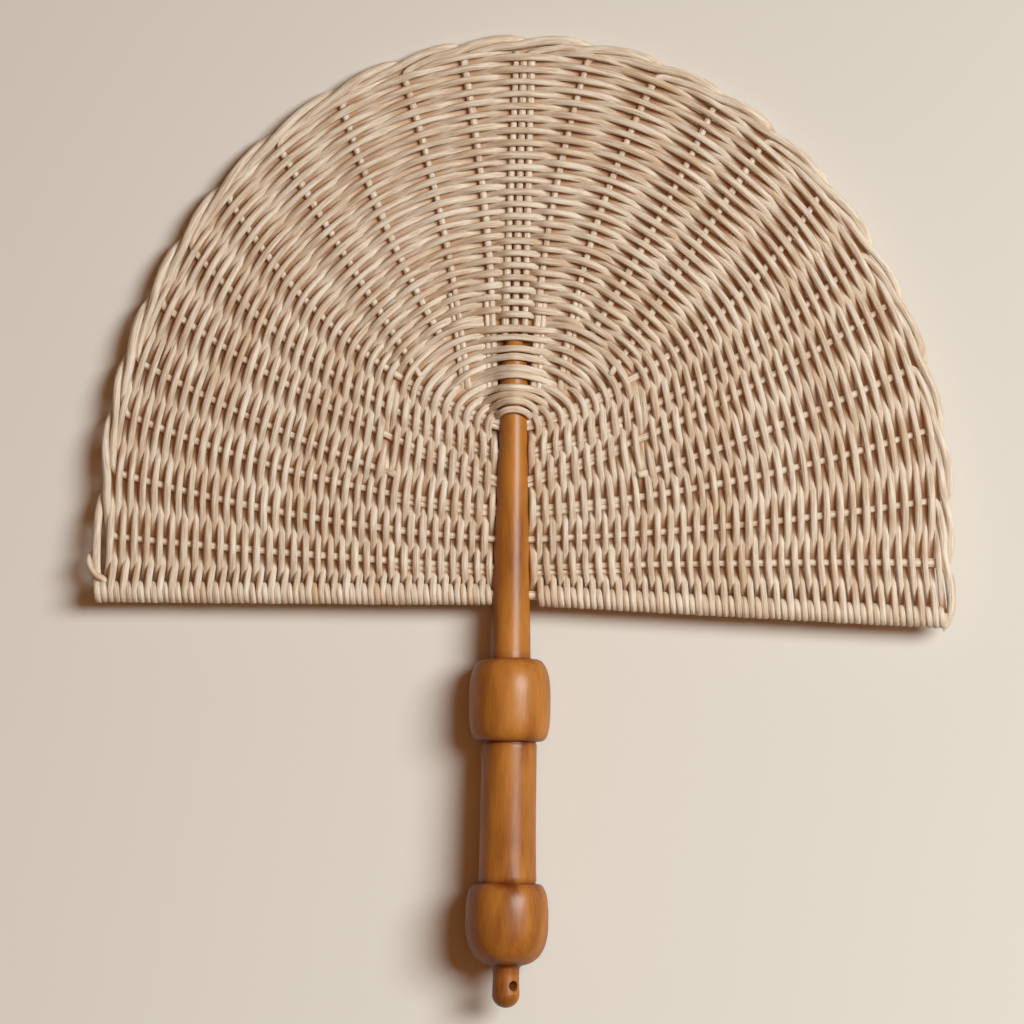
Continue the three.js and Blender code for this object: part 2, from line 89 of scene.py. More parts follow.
# Weave: rows are counted outwards from the neck. The first and the last row stand in from a stake's
# two ends, and the edge rod reaches past the border by its overhangs, left and right
FIRST_ROW = -1
ROWS = 62
ROWS_PER_WEAVER = 4
FIRST_ROW_STANDOFF = 1.6 * MM
LAST_ROW_INSET = 1.7 * MM
ROD_OVERHANGS = (3.6 * MM, 3 * MM)
ROD_LAST_ROW_INSET = 4.2 * MM
# Rows under this number cross the handle's nose. Heights of some of them there, in millimetres
HUB_ROWS = 18
HUB_HEIGHTS = (
    (-1, 75.9), (1, 79.4), (3, 82.2), (5, 84.9), (7, 89.8), (8, 92.5),
    (10, 97.1), (12, 100.4), (14, 105.1), (16, 108.7), (HUB_ROWS, 114.2),
)
# How much higher a weaver stands where crossings are close, its turns round the edge rod, where the
# last of them starts, and how far a weaver is pressed into a stake
LIFT = 0.6
WRAP_TURNS = 1.5
LAST_WRAP_START = -0.75 * np.pi
PRESS = 0.25 * MM

# Uneven handwork: spread of the rows along a stake and of a weaver's height over it, how far even
# draws reach for one unit of spread, the share by which a reed's thickness swings, and the lengths
# that set the slow and the quick swing
ROW_SPREAD = 0.11 * MM
HEIGHT_SPREAD = 0.04
DRAW_REACH = 1.7
THICKNESS_SPREAD = 0.07
THICKNESS_WAVES = (42 * MM, 9 * MM)
# Power of a reed's section, where 2 is round, and the length of grain that reeds are cut from
SECTION_SQUARENESS = 2.4
GRAIN_LENGTH = 50
# A reed is pressed broader where it lies behind the blade's middle plane, in full at this depth
BACK_BREADTH = 0.16
BACK_DEPTH = 1.5 * MM

# Where the seeds of each kind of draw start: reeds, the rows' nudges on the left and on the right,
# and the weavers' heights. Weavers have the seeds from 1 on
CROSS_SEED = 100
SECOND_CROSS_SEED = 110
SIDE_SEED = 200
SECOND_SIDE_SEED = 220
CENTRE_SEED = 301
ROD_SEED = 400
ROW_SEEDS = (500, 550)
HEIGHT_SEED = 700

# Cross stakes: height of the hole in the neck, in millimetres, angle of leaving it, and the two
# places on the border, counted in even stake spaces from the left corner
CROSS_STAKES = (
    (13, 2.5, 0.85, 23.16),
    (24.3, 3, 1.84, 22.19),
    (36.5, 5, 2.76, 21.1),
    (48.2, 18.5, 4.54, 19.05),
    (59.2, 16, 5.54, 18.16),
    (71, 17, 6.51, 17.03),
)

# Side stakes: the point that they aim away from, in millimetres, the angle there, their first row,
# their two places on the border, and the length of the free end before that row. It lies on the
# weave, or under it if the length is negative. With a length of 0 the stake starts at the point
SIDE_STAKES = {
    "lower_by_stake": (40, 47.3, 17.5, 18, 3.59, 20.1, 6),
    "upper_by_stake": (32, 80.5, 57, 18, 7.61, 15.85, 9),
    "outer_stake": (17.6, 85.8, 57, 18, 8.81, 14.89, -4),
    "middle_stake": (17.8, 79, 84, 8, 9.86, 13.89, -4),
    "inner_stake": (7.8, 84, 89, HUB_ROWS, 10.82, 12.8, 0),
}
STAKE_SPACES = 24

# Stakes with a second, short reed beside them, how far it reaches, and how far aside it lies and how
# thick it is, in parts of the stake's radius
DOUBLED_CROSS_STAKES = (1, 3, 4, 5, 6)
DOUBLED_SIDE_STAKES = ("middle_stake", "inner_stake")
DOUBLED_REACH = 40 * MM
SECOND_ASIDE = 1.6
SECOND_SIZE = 0.75

# Centre stakes: place on the border, spacing at both ends, and how much lower the outer two start
CENTRE_STATION = 11.78
CENTRE_SPACING_LOW = 4 * MM
CENTRE_SPACING_TOP = 3.1 * MM
CENTRE_SIDE_DROP = 3 * MM

# Rolled border: a stake's end swings from the inner side over its neighbour's tip to the outer
# edge, then tucks in behind the next one. Each row: stake spaces, then millimetres outwards and up
TAIL_COURSE = (
    (0.0, -1.3, -0.4),
    (0.5, -1.2, 0.7),
    (0.9, -0.6, 1.5),
    (1.2, 0.9, 1.4),
    (1.5, 2.0, 0.7),
    (1.8, 2.1, -0.6),
    (2.1, 1.2, -1.9),
)
# The lowest right stake's end loops round the corner, the edge rod's left end hooks upwards, and
# the last weaver ends up the left side: points in millimetres
CORNER_LOOP = (
    (173, 15.5, 0.6), (175.2, 11.2, 1.2), (176, 4.4, 0.8), (175.4, -4.8, 0.2), (173.2, -10, -0.8),
)
ROD_HOOK = (
    (-168.3, 17, -1.4), (-168.8, 12.6, 0.6), (-166.8, 8.6, 1.8), (-163, 6, 1.5), (-159, 3, 0.6),
)
LAST_END = (
    (-165.7, 5.5, -0.6), (-166, 12, 0.4), (-166, 20, 0.9), (-165.5, 31, 0.4), (-164.6, 41, -0.8),
)
BORDER_INSET = 3.62 * MM
BEND_RADIUS = 4 * MM
# A stake's end thickens by the swell over its last stretch, the reach, and narrows over the taper to
# the least share of its section. Stops closer than the least step, in stake spaces, count as one
TAIL_REACH = 48 * MM
TAIL_SWELL = 0.2
TIP_TAPER = 9 * MM
TIP_LEAST = 0.06
TAIL_LEAST_STEP = 0.05

# Edge rod: the shares of its left and right line that it keeps to, its stops on each, and the length
# over which it thickens after the hook
ROD_SHARES = (0.94, 0.985)
ROD_STOPS = 12
ROD_THICKENING = 8 * MM

# Handle profile
TIP_END_Y = 108 * MM
TIP_START_Y = 87 * MM
NECK_TOP_Y = 74 * MM
NECK_TOP_RADIUS = 5.5 * MM
NECK_FOOT_RADIUS = 8.2 * MM
UPPER_BEAD_TOP_Y = -23.4 * MM
HANGING_HOLE_Y = -153.8 * MM
HANGING_HOLE_TURN = 36 * DEGREE
# Height of each shoulder, where stain gathers, how dark it is there, the length over which it fades,
# and how dark it is all over below the second shoulder
SHOULDERS = np.array([-146, -112.8, -57, -23.3]) * MM
SHOULDER_STAIN = 0.55
STAIN_FADE = 1.6 * MM
LOWER_STAIN = 0.16
# Half the length of the drills, and the angle from which an edge stays sharp
DRILL_REACH = 20 * MM
SHARP_ANGLE = 50 * DEGREE

# Fineness: points on a line, least rings between two stops of a bend and of a row, rings of a turn
# round the rod, longest steps of a bend and of the rod, and sides and rings of turned shapes
LINE_SAMPLES = 240
BEND_SAMPLES = 8
ROW_SAMPLES = 6
WRAP_SAMPLES = 40
BEND_STEP = 1.5 * MM
ROD_STEP = 2 * MM
LATHE_SIDES = 96
SWELL_RINGS = 24
DRILL_SIDES = 32

# Heights between which the painted shade on faces turned into the weave fades, and the stakes'
# shift towards pale
PAINTED_SHADE_HEIGHTS = (-2.4 * MM, -0.5 * MM)
STAKE_DARKENING = -0.1
# Colours of the two lights: the key, and the fill with the sky
KEY_COLOUR = (0.86, 0.972, 1.0)
WARM_COLOUR = (1.0, 0.44, 0.165)


def unit(vectors):
    return vectors / np.linalg.norm(vectors, axis=-1, keepdims=True)


def step_lengths(points):
    return np.linalg.norm(np.diff(points, axis=0), axis=1)


def level(points):
    """Points of the blade's plane, with a height of 0."""
    return np.column_stack([points, np.zeros(len(points))])


def place(points):
    """Turns the fan about X so that its handle lies along the frame's axis, and moves it so that
    the hanging hole is where the frame has it."""
    along = np.array(MOUNTS["bead_shoulder"]["axis"])
    turn = np.array([[1, 0, 0], along, np.cross([1, 0, 0], along)])
    hole = np.array([0, HANGING_HOLE_Y, 0])
    return (points - hole) @ turn + np.array(MOUNTS["hanging_hole"]["pos_m"])


class Line:
    """A line in the blade's plane that gives points by their distance along it."""

    def __init__(self, points):
        self.points = np.asarray(points)
        self.distances = np.concatenate(([0], np.cumsum(step_lengths(self.points))))
        self.length = self.distances[-1]

    def at(self, distance):
        return np.stack([np.interp(distance, self.distances, c) for c in self.points.T], axis=-1)

    def heading(self, distance):
        step = self.length / LINE_SAMPLES
        ahead = self.at(np.minimum(distance + step, self.length))
        return unit(ahead - self.at(np.maximum(distance - step, 0)))


def bow(start, control, end):
    """A parabola that leaves `start` towards `control` and reaches `end` from it."""
    share = np.linspace(0, 1, LINE_SAMPLES)[:, None]
    return (1 - share) ** 2 * start + 2 * share * (1 - share) * control + share**2 * end


def border_line():
    """Middle of the rolled border: straight up the left side, half an ellipse over the top, and
    straight down the right side."""
    half = BLADE_HALF_WIDTH - BORDER_INSET
    angle = np.linspace(np.pi, 0, LINE_SAMPLES * 4)
    arch = np.stack([np.cos(angle) * half, np.sin(angle) * (BLADE_RISE - BORDER_INSET)], axis=1)
    arch += (BLADE_CENTRE_X, SHOULDER_Y)
    return Line(np.vstack([(arch[0, 0], ROD_LEFT_Y), arch, (arch[-1, 0], ROD_RIGHT_Y)]))


BORDER = border_line()


def border_point(station, offset):
    """A point beside the border's middle line, `offset` outwards."""
    distance = np.asarray(station) / STAKE_SPACES * BORDER.length
    heading = BORDER.heading(distance)
    outwards = np.stack([-heading[..., 1], heading[..., 0]], axis=-1)
    return BORDER.at(distance) + outwards * np.asarray(offset)[..., None]


def wood_radius(y):
    """Radius of the neck, a cone, and of the nose, an ellipse."""
    nose = np.clip((y - TIP_START_Y) / (TIP_END_Y - TIP_START_Y), 0, 1)
    share = np.clip((y - UPPER_BEAD_TOP_Y) / (NECK_TOP_Y - UPPER_BEAD_TOP_Y), 0, 1)
    neck = NECK_FOOT_RADIUS + (NECK_TOP_RADIUS - NECK_FOOT_RADIUS) * share
    return neck * np.sqrt(1 - nose**2)


TAIL_START = TAIL_COURSE[0][1] * MM
# Every place on the border where a stake turns, between the border's two ends
STATIONS = sorted(
    [0, CENTRE_STATION, STAKE_SPACES]
    + [station for stake in CROSS_STAKES for station in stake[2:4]]
    + [station for stake in SIDE_STAKES.values() for station in stake[4:6]]
)


class Rib:
    """A stake on one side: its line in the plane and how the rows are spaced along it, evenly but
    for a small seeded nudge of each row."""

    def __init__(self, line, station, first_row, first_along, last_inset, seed):
        self.line = line
        self.station = station
        self.first_row = first_row
        self.first_along = first_along
        self.pitch = (line.length - last_inset - first_along) / (ROWS - 1 - first_row)
        draws = ROWS + 1 - FIRST_ROW
        dice = np.random.default_rng(seed)
        self.nudges = dice.uniform(-DRAW_REACH, DRAW_REACH, draws) * ROW_SPREAD

    def along(self, row):
        return self.first_along + (row - self.first_row) * self.pitch + self.nudges[row - FIRST_ROW]

    def at(self, row):
        return self.line.at(self.along(row))


def stake_line(side, root, leaves, station):
    """A stake's bowed line from its root, which it leaves at an angle, to the border."""
    start = np.array([side * root[0], root[1]])
    end = border_point(station, TAIL_START)
    reach = np.linalg.norm(end - start) / 2
    towards = np.array([side * np.cos(leaves * DEGREE), np.sin(leaves * DEGREE)])
    return Line(bow(start, start + towards * reach, end))


def along_at_crossing(line, start, end):
    """How far along a line it crosses the straight stretch between two points."""
    across = end - start
    away = line.points - start
    facing = across[0] * away[:, 1] - across[1] * away[:, 0]
    facing *= np.sign(facing[0])
    return np.interp(0, -facing, line.distances)


def row_top_y(row):
    """Height of a row on the blade's centre line: between the listed heights on the handle's nose,
    and evenly spaced above it."""
    rows, heights = np.array(HUB_HEIGHTS).T
    if row < HUB_ROWS:
        return np.interp(row, rows, heights) * MM
    first = heights[-1] * MM
    last = border_point(CENTRE_STATION, TAIL_START)[1] - LAST_ROW_INSET
    return first + (last - first) * (row - HUB_ROWS) / (ROWS - 1 - HUB_ROWS)


class Arch:
    """A row's rise from its crossing of the top cross stake to the blade's centre line: part of an
    ellipse about the top of the neck."""

    def __init__(self, foot, top_y):
        self.middle_y = min(foot[1], NECK_TOP_Y)
        self.rise = top_y - self.middle_y
        level = (foot[1] - self.middle_y) / self.rise
        self.reach = abs(foot[0]) / np.sqrt(1 - level**2)

    def y(self, x):
        return self.middle_y + self.rise * np.sqrt(1 - (x / self.reach) ** 2)

    def crossing(self, line):
        """How far along a line it leaves the ellipse."""
        x, y = line.points.T
        outside = (x / self.reach) ** 2 + ((y - self.middle_y) / self.rise) ** 2 - 1
        return np.interp(0, outside, line.distances)


class Side:
    """The ribs of one side, from the edge rod to the blade's centre line."""

    def __init__(self, side):
        key = 0 if side < 0 else 1
        corner_y = ROD_LEFT_Y if side < 0 else ROD_RIGHT_Y
        corner_x = border_point(0 if side < 0 else STAKE_SPACES, 0)[0] + side * ROD_OVERHANGS[key]
        start = (side * wood_radius(ROD_HEIGHT), ROD_HEIGHT)
        rod_line = Line(np.linspace(start, (corner_x, corner_y), LINE_SAMPLES))
        seed = ROW_SEEDS[key]
        self.rod = Rib(rod_line, None, FIRST_ROW, FIRST_ROW_STANDOFF, ROD_LAST_ROW_INSET, seed)
        self.cross = []
        for height, leaves, *stations in CROSS_STAKES:
            root = (wood_radius(height * MM), height * MM)
            line = stake_line(side, root, leaves, stations[key])
            seed += 1
            rib = Rib(line, stations[key], FIRST_ROW, FIRST_ROW_STANDOFF, LAST_ROW_INSET, seed)
            self.cross.append(rib)
        self.free = {}
        for name, (x, y, leaves, first, *stations, _) in SIDE_STAKES.items():
            line = stake_line(side, (x * MM, y * MM), leaves, stations[key])
            if name == "lower_by_stake":
                below, above = (self.cross[i].at(first) for i in (2, 3))
                first_along = along_at_crossing(line, below, above)
            else:
                first_along = Arch(self.cross[-1].at(first), row_top_y(first)).crossing(line)
            seed += 1
            self.free[name] = Rib(line, stations[key], first, first_along, LAST_ROW_INSET, seed)

    def in_order(self):
        free = self.free
        return [
            self.rod, *self.cross[:3], free["lower_by_stake"], *self.cross[3:],
            free["upper_by_stake"], free["outer_stake"], free["middle_stake"], free["inner_stake"],
        ]


class Weave:
    """Where every row crosses every stake."""

    def __init__(self, reeds):
        self.weaver_radius = reeds.weaver_thickness / 2
        self.stake_radius = reeds.stake_diameter / 2
        self.rod_radius = reeds.rod_diameter / 2
        self.over_stake = self.stake_radius + self.weaver_radius - PRESS
        self.over_rod = self.rod_radius + self.weaver_radius
        self.left = Side(-1)
        self.right = Side(1)

    def centre_stops(self, row):
        """A row's stops over the outer two centre stakes."""
        top = border_point(CENTRE_STATION, TAIL_START)
        share = (row_top_y(row) - TIP_END_Y) / (top[1] - TIP_END_Y)
        sides = np.array([-1, 1])
        spacing = CENTRE_SPACING_LOW + (CENTRE_SPACING_TOP - CENTRE_SPACING_LOW) * share
        x = top[0] * share + sides * spacing
        return [np.array([place_x, row_top_y(row), self.over_stake]) for place_x in x]

    def hub_stops(self, row, beside):
        """A row's stops on the handle's nose and, where they have begun, on the inner stakes. The
        reed lies on the round wood and leaves it straight towards the next stop on each side."""
        top_y = row_top_y(row)
        radius = max(wood_radius(top_y), self.stake_radius) + self.weaver_radius
        inner_y = SIDE_STAKES["inner_stake"][1] * MM
        halves = []
        for side, (x, _, depth) in zip((self.left, self.right), beside):
            arch = Arch(side.cross[-1].at(row), top_y)
            # The stop beside the hub lies on the other side of the blade
            height = -depth
            stops = []
            if top_y > inner_y:
                # The inner stake is nearly upright, so a height serves as a distance along it
                x = side.free["inner_stake"].line.at(top_y - inner_y)[0]
                height = self.over_stake
                stops.append(np.array([x, arch.y(x), height]))
            # Angle from the top of the wood to where a straight line from the stop touches it
            leaving = np.arcsin(radius / np.hypot(x, height)) - np.arctan2(height, abs(x))
            if radius * np.sin(leaving) > self.weaver_radius:
                on_wood = np.sign(x) * radius * np.sin(leaving)
                stops.append(np.array([on_wood, arch.y(on_wood), radius * np.cos(leaving)]))
            halves.append(stops)
        return halves[0] + [np.array([0, top_y, radius])] + halves[1][::-1]

    def row(self, row):
        """A row's stops from left to right. Each bundle of stops lies on the other side of the
        blade from the bundle before it."""
        halves = []
        for side in (self.left, self.right):
            ribs = [rib for rib in side.in_order() if row >= rib.first_row]
            heights = [self.over_rod] + [self.over_stake] * (len(ribs) - 1)
            halves.append([np.append(rib.at(row), height) for rib, height in zip(ribs, heights)])
        left, right = halves
        if row < HUB_ROWS:
            centre = self.hub_stops(row, (left[-1], right[-1]))
        else:
            centre = self.centre_stops(row)
        bundles = [[stop] for stop in left] + [centre] + [[stop] for stop in reversed(right)]
        sizes = [len(bundle) for bundle in bundles]
        stops = np.array([stop for bundle in bundles for stop in bundle])
        number = np.repeat(np.arange(len(bundles)), sizes)
        sign = np.where((number + row) % 2 == 0, 1, -1)
        stops[:, 2] *= sign * self.lift(stops, sign)
        dice = np.random.default_rng(HEIGHT_SEED + row)
        uneven = dice.uniform(-DRAW_REACH, DRAW_REACH, len(stops)) * HEIGHT_SPREAD
        stops[1:-1, 2] *= 1 + np.abs(uneven[1:-1])
        return stops

    def lift(self, stops, sign):
        """A weaver stands higher on a stake where the next crossing on the other side is close."""
        gaps = step_lengths(stops[:, :2])
        gaps = np.where(sign[1:] != sign[:-1], gaps, np.inf)
        nearest = np.minimum(np.append(np.inf, gaps), np.append(gaps, np.inf))
        nearest[[0, -1]] = np.inf
        lone = np.isclose(stops[:, 2], self.over_stake)
        return np.where(lone, 1 + LIFT * (stops[:, 2] / nearest) ** 2, 1)

    def wrap(self, side, row, direction, start=0.0):
        """A helix round the edge rod, from the front of the rod at an even row, down and round to
        the back, moving outwards (1) or inwards (-1) by one reed's pitch a turn."""
        angle = np.linspace(start, 2 * np.pi * WRAP_TURNS, WRAP_SAMPLES)
        along = side.rod.along(row) + direction * side.rod.pitch * angle / (2 * np.pi)
        out = np.stack([np.zeros_like(angle), -np.sin(angle), np.cos(angle)], axis=1)
        return level(side.rod.line.at(along)) + out * self.over_rod, out


def smooth_line(stops, step, least):
    """A curve through the stops. In the plane each stop's slope is the mean of its two chords',
    the shorter chord counting more; in height too, but level at crests, so a reed is highest on
    the stake that it crosses. A cubic joins one stop to the next."""
    chords = step_lengths(stops[:, :2])
    secants = np.diff(stops, axis=0) / chords[:, None]
    before, after = secants[:-1], secants[1:]
    nearer = (chords[1:] / (chords[:-1] + chords[1:]))[:, None]
    slopes = np.concatenate([secants[:1], before * nearer + after * (1 - nearer), secants[-1:]])
    slopes[1:-1, 2] *= before[:, 2] * after[:, 2] > 0
    slopes[[0, -1], 2] = 0
    counts = np.maximum(least, np.ceil(chords / step).astype(int))
    piece = np.repeat(np.arange(len(chords)), counts)
    begun = np.repeat(np.cumsum(counts) - counts, counts)
    t = ((np.arange(counts.sum()) - begun) / counts[piece])[:, None]
    chord = chords[piece, None]
    curve = (
        (2 * t**3 - 3 * t**2 + 1) * stops[piece]
        + (t**3 - 2 * t**2 + t) * chord * slopes[piece]
        + (3 * t**2 - 2 * t**3) * stops[piece + 1]
        + (t**3 - t**2) * chord * slopes[piece + 1]
    )
    return np.vstack([curve, stops[-1]])


def cut_ends(path, out, radius):
    """Adds a small chamfer at both cut ends: two more rings, each a little further and narrower."""
    reach = np.array([0.2, 0.3])[:, None]
    narrow = np.array([0.85, 0.6])
    first, last = unit(path[0] - path[1]), unit(path[-1] - path[-2])
    start = path[0] + first * reach * radius[0]
    end = path[-1] + last * reach * radius[-1]
    path = np.vstack([start[::-1], path, end])
    out = np.vstack([out[:1], out[:1], out, out[-1:], out[-1:]])
    radius = np.concatenate([narrow[::-1] * radius[0], radius, narrow * radius[-1]])
    return path, out, radius


class Reed:
    """One reed: the path of its middle, the way that the upper side of its section faces, its
    radius along the path, how far its section is pressed flat, and the number that seeds its grain,
    tone and thickness."""

    def __init__(self, path, out, radius, number, flat=1.0):
        out = np.broadcast_to(out, path.shape)
        self.path, self.out, self.radius = cut_ends(path, out, np.broadcast_to(radius, len(path)))
        self.flat = flat
        dice = np.random.default_rng(number)
        self.grain_start = dice.uniform(0, GRAIN_LENGTH)
        self.tone = dice.uniform(0, 1)
        self.along = np.concatenate(([0], np.cumsum(step_lengths(self.path))))
        for wave in THICKNESS_WAVES:
            phase = dice.uniform(0, 2 * np.pi)
            self.radius = self.radius * (1 + THICKNESS_SPREAD * np.sin(self.along / wave + phase))

    def surface(self, sides):
        """A section carried along the path. At each point two axes square to the path, one of them
        nearest to `out`, swing a slightly squared circle, a superellipse of that point's radius,
        pressed flat along `out` and a little broader behind the blade's middle plane. The material
        takes each point's place in the grain, and its height, which sets the painted shade: the
        path's height times how far the point faces up, which is negative where a surface faces into
        the weave from either side."""
        ahead = unit(np.gradient(self.path, axis=0))
        side = unit(np.cross(ahead, self.out))
        up = np.cross(side, ahead)
        angle = np.linspace(0, 2 * np.pi, sides, endpoint=False)
        power = SECTION_SQUARENESS
        size = (np.abs(np.cos(angle)) ** power + np.abs(np.sin(angle)) ** power) ** (-1 / power)
        across, rise = size * np.cos(angle), self.flat * size * np.sin(angle)
        broad = 1 + BACK_BREADTH * np.clip(-self.path[:, None, 2:] / BACK_DEPTH, 0, 1)
        ring = across[:, None] * broad * side[:, None] + rise[:, None] * up[:, None]
        radius = self.radius[:, None]
        points = self.path[:, None] + radius[..., None] * ring
        along = self.grain_start + self.along[:, None]
        grain = np.stack(np.broadcast_arrays(across * radius, rise * radius, along), axis=-1)
        height = self.path[:, None, 2] * ring[..., 2]
        return points, grain, height

    def faces(self, sides, base):
        """Four-sided walls between neighbouring rings, and a flat disc at each cut end."""
        index = base + np.arange(len(self.path) * sides).reshape(-1, sides)
        around = np.roll(index, -1, axis=1)
        walls = np.stack([index[:-1], index[1:], around[1:], around[:-1]], axis=-1)
        return walls.reshape(-1, 4).tolist() + [index[0].tolist(), index[-1][::-1].tolist()]


def reed_mesh(name, reeds, sides):
    """A mesh of one or more reeds, with the grain and tone that their material reads, and the
    height by which it paints shade.
    """
    points, grains, heights, tones, faces = [], [], [], [], []
    for reed in reeds:
        faces += reed.faces(sides, sum(len(part) for part in points))
        surface, grain, height = reed.surface(sides)
        points.append(surface.reshape(-1, 3))
        grains.append(grain.reshape(-1, 3))
        heights.append(height.ravel())
        tones.append(np.full(height.size, reed.tone))
    mesh = bpy.data.meshes.new(name)
    mesh.from_pydata(place(np.vstack(points)).tolist(), [], faces)
    mesh.shade_smooth()
    store(mesh, "grain", "FLOAT_VECTOR", "vector", np.vstack(grains))
    store(mesh, "tone", "FLOAT", "value", np.concatenate(tones))
    store(mesh, "height", "FLOAT", "value", np.concatenate(heights))
    return mesh


def store(mesh, name, kind, field, values):
    attribute = mesh.attributes.new(name, kind, "POINT")
    attribute.data.foreach_set(field, np.asarray(values, np.float32).ravel())


def add_piece(name, mesh, material, slot, *nodes):
    """Puts a mesh in the scene as a piece that rides with the fan and stands for CAD nodes."""
    piece = bpy.data.objects.new(name, mesh)
    bpy.context.scene.collection.objects.link(piece)
    piece.data.materials.append(material)
    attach(piece, BODY)
    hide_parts(*nodes)
    return piece


def add_reeds(node, strands, material, sides):
    """Adds one or more reeds as the piece that stands for a CAD node."""
    name = node + "_reed"
    add_piece(name, reed_mesh(name, strands, sides), material, "reed", node)


def tail_path(station):
    """A stake's end along the border, through the stops of the tail course. The last stake's end
    loops round the corner instead."""
    here = STATIONS.index(station)
    if here == len(STATIONS) - 2:
        start = np.append(border_point(station, TAIL_START), 0)
        return np.vstack([start, np.array(CORNER_LOOP) * MM])
    spaces, offset, height = np.array(TAIL_COURSE).T
    stations = np.interp(here + spaces, np.arange(len(STATIONS)), STATIONS)
    kept = np.diff(stations, prepend=-1) > TAIL_LEAST_STEP
    return np.column_stack([border_point(stations, offset * MM), height * MM])[kept]


def shaft_path(rib, start):
    """A stake's shaft, level in the plane, from `start` along its line to the border's bend."""
    distance = np.linspace(start, rib.line.length - BEND_RADIUS, LINE_SAMPLES // 4)
    return level(rib.line.at(distance))


def rib_path(rib, start):
    """A stake's shaft and its end in the border, joined by one smooth bend."""
    shaft = shaft_path(rib, start)
    tail = tail_path(rib.station)
    stops = np.vstack([shaft[-2:], tail[1:]])
    return np.vstack([shaft[:-2], smooth_line(stops, BEND_STEP, BEND_SAMPLES)])


def tapered(path, radius):
    """A reed's radius along a path: a little thicker in the border, and narrowing to the tip."""
    left = np.append(np.cumsum(step_lengths(path)[::-1])[::-1], 0)
    swollen = 1 + TAIL_SWELL * np.clip((TAIL_REACH - left) / TIP_TAPER, 0, 1)
    return radius * swollen * np.sqrt(np.clip(left / TIP_TAPER, TIP_LEAST, 1))


class FanReeds(bpy.types.PropertyGroup):
    """Sizes and colours of the reeds"""

    weaver_width: bpy.props.FloatProperty(
        name="Weaver width", description="Width of the reeds that go over and under the stakes",
        default=2.8 * MM, unit="LENGTH", precision=5)
    weaver_thickness: bpy.props.FloatProperty(
        name="Weaver thickness", description="Thickness of those reeds, square to the blade",
        default=2.3 * MM, unit="LENGTH", precision=5)
    stake_diameter: bpy.props.FloatProperty(
        name="Stake diameter", description="Thickness of the reeds that radiate from the handle",
        default=2.8 * MM, unit="LENGTH", precision=5)
    rod_diameter: bpy.props.FloatProperty(
        name="Edge rod diameter", description="Thickness of the rod along the blade's straight edge",
        default=4.2 * MM, unit="LENGTH", precision=5)
    sides: bpy.props.IntProperty(
        name="Sides", description="Faces round one reed", default=12, min=6, max=24)
    step: bpy.props.FloatProperty(
        name="Ring step", description="Longest distance between two rings of a reed",
        default=1.6 * MM, unit="LENGTH", precision=5)
    pale: bpy.props.FloatVectorProperty(
        name="Pale reed", description="Colour of the palest reeds", subtype="COLOR",
        default=(0.768, 0.63, 0.498))
    tan: bpy.props.FloatVectorProperty(
        name="Tan reed", description="Colour of the darkest reeds", subtype="COLOR",
        default=(0.583, 0.394, 0.25))
    honey: bpy.props.FloatVectorProperty(
        name="Honey streaks", description="Colour of weathered stretches", subtype="COLOR",
        default=(0.62, 0.36, 0.16))
    # Painted shade: the colour that stands in for the shade on weaver faces turned into the weave
    shade: bpy.props.FloatVectorProperty(
        name="Painted shade", description="Painted shade on the weavers where they face into the weave", subtype="COLOR",
        default=(0.57, 0.262, 0.103))


class FanHandle(bpy.types.PropertyGroup):
    """Sizes and colours of the turned handle"""

    bead_radius: bpy.props.FloatProperty(
        name="Bead radius", description="Radius of the upper bead", default=16.35 * MM,
        unit="LENGTH", precision=5)
    grip_radius: bpy.props.FloatProperty(
        name="Grip radius", description="Radius of the grip at its upper end", default=11.1 * MM,
        unit="LENGTH", precision=5)
    hole_diameter: bpy.props.FloatProperty(
        name="Hanging hole", description="Diameter of the hole across the finial", default=4.2 * MM,
        unit="LENGTH", precision=5)
    light_wood: bpy.props.FloatVectorProperty(
        name="Light wood", description="Colour between the grain lines", subtype="COLOR",
        default=(0.475, 0.172, 0.026))
    dark_wood: bpy.props.FloatVectorProperty(
        name="Dark wood", description="Colour of the grain lines", subtype="COLOR",
        default=(0.165, 0.031, 0.003))


class FanStage(bpy.types.PropertyGroup):
    """Floor, light and camera"""

    floor_colour: bpy.props.FloatVectorProperty(
        name="Floor", description="Colour of the table", subtype="COLOR",
        default=(0.713, 0.637, 0.562))
    key_power: bpy.props.FloatProperty(
        name="Key light", description="Power of the lamp at the upper right", default=130.0,
        unit="POWER")
    sky_strength: bpy.props.FloatProperty(
        name="Sky", description="Strength of the even light from all round", default=0.094)
    fill_power: bpy.props.FloatProperty(
        name="Fill light", description="Power of the soft lamp overhead", default=9.2,
        unit="POWER")
    camera_height: bpy.props.FloatProperty(
        name="Camera height", description="Height of the camera over the blade", default=2.4,
        unit="LENGTH")


def put(tree, kind, settings=None, **inputs):
    """Adds a node. `settings` are its own properties; `inputs` are values of its sockets, or the
    sockets that feed them."""
    node = tree.nodes.new("ShaderNode" + kind)
    for name, value in (settings or {}).items():
        setattr(node, name, value)
    for name, value in inputs.items():
        feed(tree, node.inputs[name.replace("_", " ")], value)
    return node


def feed(tree, socket, value):
    if isinstance(value, bpy.types.NodeSocket):
        tree.links.new(value, socket)
    else:
        socket.default_value = value


def math(tree, operation, first, second):
    node = put(tree, "Math", {"operation": operation})
    feed(tree, node.inputs[0], first)
    feed(tree, node.inputs[1], second)
    return node.outputs[0]


def mix(tree, factor, first, second):
    """Mixes two colours. A Mix node has a row of sockets for each kind of data, and the ones for
    colours are the sixth and the seventh input and the second output, counted from 0."""
    node = put(tree, "Mix", {"data_type": "RGBA"})
    feed(tree, node.inputs[0], factor)
    feed(tree, node.inputs[6], first)
    feed(tree, node.inputs[7], second)
    return node.outputs[2]


